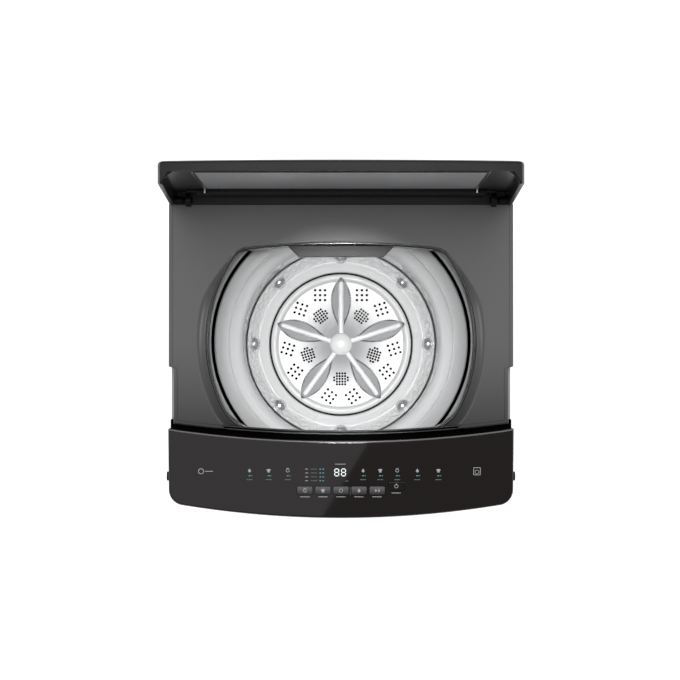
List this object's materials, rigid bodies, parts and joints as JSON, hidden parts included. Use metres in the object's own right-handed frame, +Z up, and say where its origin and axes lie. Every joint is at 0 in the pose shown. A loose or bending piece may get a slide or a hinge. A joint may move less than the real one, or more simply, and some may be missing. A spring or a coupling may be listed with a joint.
{
  "type": "top load washing machine",
  "caption": "Free-standing top load washing machine with an open hinged lid, a front control console, and a spinning basket and pulsator in a sprung tub.",
  "frame": {"origin": "on the floor, on the drum axis, at the centre of the footprint", "axes": "+Z up, front of the machine towards -Y, +X to the right of someone facing the front"},
  "size_m": [0.531, 0.5388, 1.271],
  "materials": {
    "dark_plastic": "dark grey, high gloss moulded ABS",
    "black_plastic": "black, fine spark-eroded texture",
    "console_gloss": "brown-black mirror gloss acrylic",
    "key_grey": "grey gloss, lighter towards the rear edge",
    "light_trim": "satin silver-grey strip",
    "cabinet_paint": "silver-grey powder coat on steel sheet",
    "zinc_steel": "zinc-plated steel",
    "board_green": "glass-epoxy circuit board",
    "tub_plastic": "off-white polypropylene",
    "ring_plastic": "white satin-gloss polypropylene",
    "rubber": "black rubber",
    "cast_aluminium": "as-cast aluminium",
    "motor_paint": "dark grey dipped paint",
    "stainless": "embossed, perforated stainless steel",
    "tinted_glass": "dark tinted tempered glass"
  },
  "bodies": {
    "cabinet": {"base_frame": "black_plastic", "cabinet_shell": "cabinet_paint", "back_panel": "zinc_steel", "top_cover": "dark_plastic", "control_housing": "black_plastic", "control_face": "console_gloss", "console_trim": "light_trim", "display_module": "black_plastic", "control_board": "board_green", "screw_cap_left": "black_plastic", "screw_cap_right": "black_plastic", "dispenser_housing": "tub_plastic", "inlet_valve": "tub_plastic", "inlet_hose": "rubber", "lid_lock": "black_plastic", "drain_stub": "black_plastic", "cord_gland": "rubber", "drain_hose": "rubber", "hinge_pin_left": "zinc_steel", "hinge_pin_right": "zinc_steel", "foot_rear_left": "rubber", "foot_rear_right": "rubber", "suspension_rod_front_left": "zinc_steel", "suspension_rod_front_right": "zinc_steel", "suspension_rod_rear_left": "zinc_steel", "suspension_rod_rear_right": "zinc_steel"},
    "foot_front_left": {"foot_front_left": "rubber"},
    "foot_front_right": {"foot_front_right": "rubber"},
    "lid": {"lid_frame": "dark_plastic", "lid_glass": "tinted_glass"},
    "drawer": {"detergent_drawer": "dark_plastic"},
    "tub": {"outer_tub": "tub_plastic", "tub_cover": "tub_plastic", "tub_support": "zinc_steel", "gearbox": "cast_aluminium", "motor": "motor_paint", "drain_valve": "tub_plastic", "drive_belt": "rubber", "damper_cup_front_left": "black_plastic", "damper_cup_front_right": "black_plastic", "damper_cup_rear_left": "black_plastic", "damper_cup_rear_right": "black_plastic"},
    "basket": {"basket_wall": "stainless", "basket_base": "ring_plastic", "basket_rim": "ring_plastic", "balance_ring": "ring_plastic", "lint_filter": "tub_plastic", "basket_flange": "cast_aluminium", "spin_shaft": "zinc_steel"},
    "pulsator_drive": {"pulsator": "ring_plastic", "pulsator_cap": "ring_plastic", "wash_shaft": "zinc_steel", "drive_pulley": "cast_aluminium"},
    "motor_rotor": {"motor_pulley": "cast_aluminium"},
    "level_key": {"level_key": "key_grey"},
    "process_key": {"process_key": "key_grey"},
    "delay_key": {"delay_key": "key_grey"},
    "program_key": {"program_key": "key_grey"},
    "start_key": {"start_key": "key_grey"},
    "power_key": {"power_key": "key_grey"}
  },
  "joints": [
    {"name": "lid_hinge", "type": "hinge", "parent": "cabinet", "child": "lid", "pos_m": [0, 0.214, 0.908], "axis": [1, 0, 0], "range_deg": [0, 90]},
    {"name": "drawer_slide", "type": "slide", "parent": "cabinet", "child": "drawer", "axis": [0, -1, 0], "range_m": [0, 0.05]},
    {"name": "tub_bounce", "type": "slide", "parent": "cabinet", "child": "tub", "axis": [0, 0, 1], "range_m": [-0.02, 0.005], "stiffness_N_per_m": 20000, "springref_m": 0.01583},
    {"name": "basket_spin", "type": "hinge", "parent": "tub", "child": "basket", "pos_m": [0, 0, 0.55], "axis": [0, 0, 1], "continuous": true},
    {"name": "pulsator_spin", "type": "hinge", "parent": "tub", "child": "pulsator_drive", "pos_m": [0, 0, 0.35], "axis": [0, 0, 1], "continuous": true},
    {"name": "motor_spin", "type": "hinge", "parent": "tub", "child": "motor_rotor", "pos_m": [-0.15, 0, 0.2], "axis": [0, 0, 1], "continuous": true},
    {"name": "foot_turn_left", "type": "hinge", "parent": "cabinet", "child": "foot_front_left", "pos_m": [-0.215, -0.205, 0.02], "axis": [0, 0, 1], "range_deg": [-360, 360]},
    {"name": "foot_turn_right", "type": "hinge", "parent": "cabinet", "child": "foot_front_right", "pos_m": [0.215, -0.205, 0.02], "axis": [0, 0, 1], "range_deg": [-360, 360]},
    {"name": "level_key_press", "type": "slide", "parent": "cabinet", "child": "level_key", "axis": [0, 0.1308, -0.9914], "range_m": [0, 0.0012], "stiffness_N_per_m": 600},
    {"name": "process_key_press", "type": "slide", "parent": "cabinet", "child": "process_key", "axis": [0, 0.1308, -0.9914], "range_m": [0, 0.0012], "stiffness_N_per_m": 600},
    {"name": "delay_key_press", "type": "slide", "parent": "cabinet", "child": "delay_key", "axis": [0, 0.1308, -0.9914], "range_m": [0, 0.0012], "stiffness_N_per_m": 600},
    {"name": "program_key_press", "type": "slide", "parent": "cabinet", "child": "program_key", "axis": [0, 0.1308, -0.9914], "range_m": [0, 0.0012], "stiffness_N_per_m": 600},
    {"name": "start_key_press", "type": "slide", "parent": "cabinet", "child": "start_key", "axis": [0, 0.1308, -0.9914], "range_m": [0, 0.0012], "stiffness_N_per_m": 600},
    {"name": "power_key_press", "type": "slide", "parent": "cabinet", "child": "power_key", "axis": [0, 0.1308, -0.9914], "range_m": [0, 0.0012], "stiffness_N_per_m": 600}
  ],
  "couplings": [
    {"joint": "motor_spin", "follows": "pulsator_spin", "ratio": 3.4091}
  ]
}
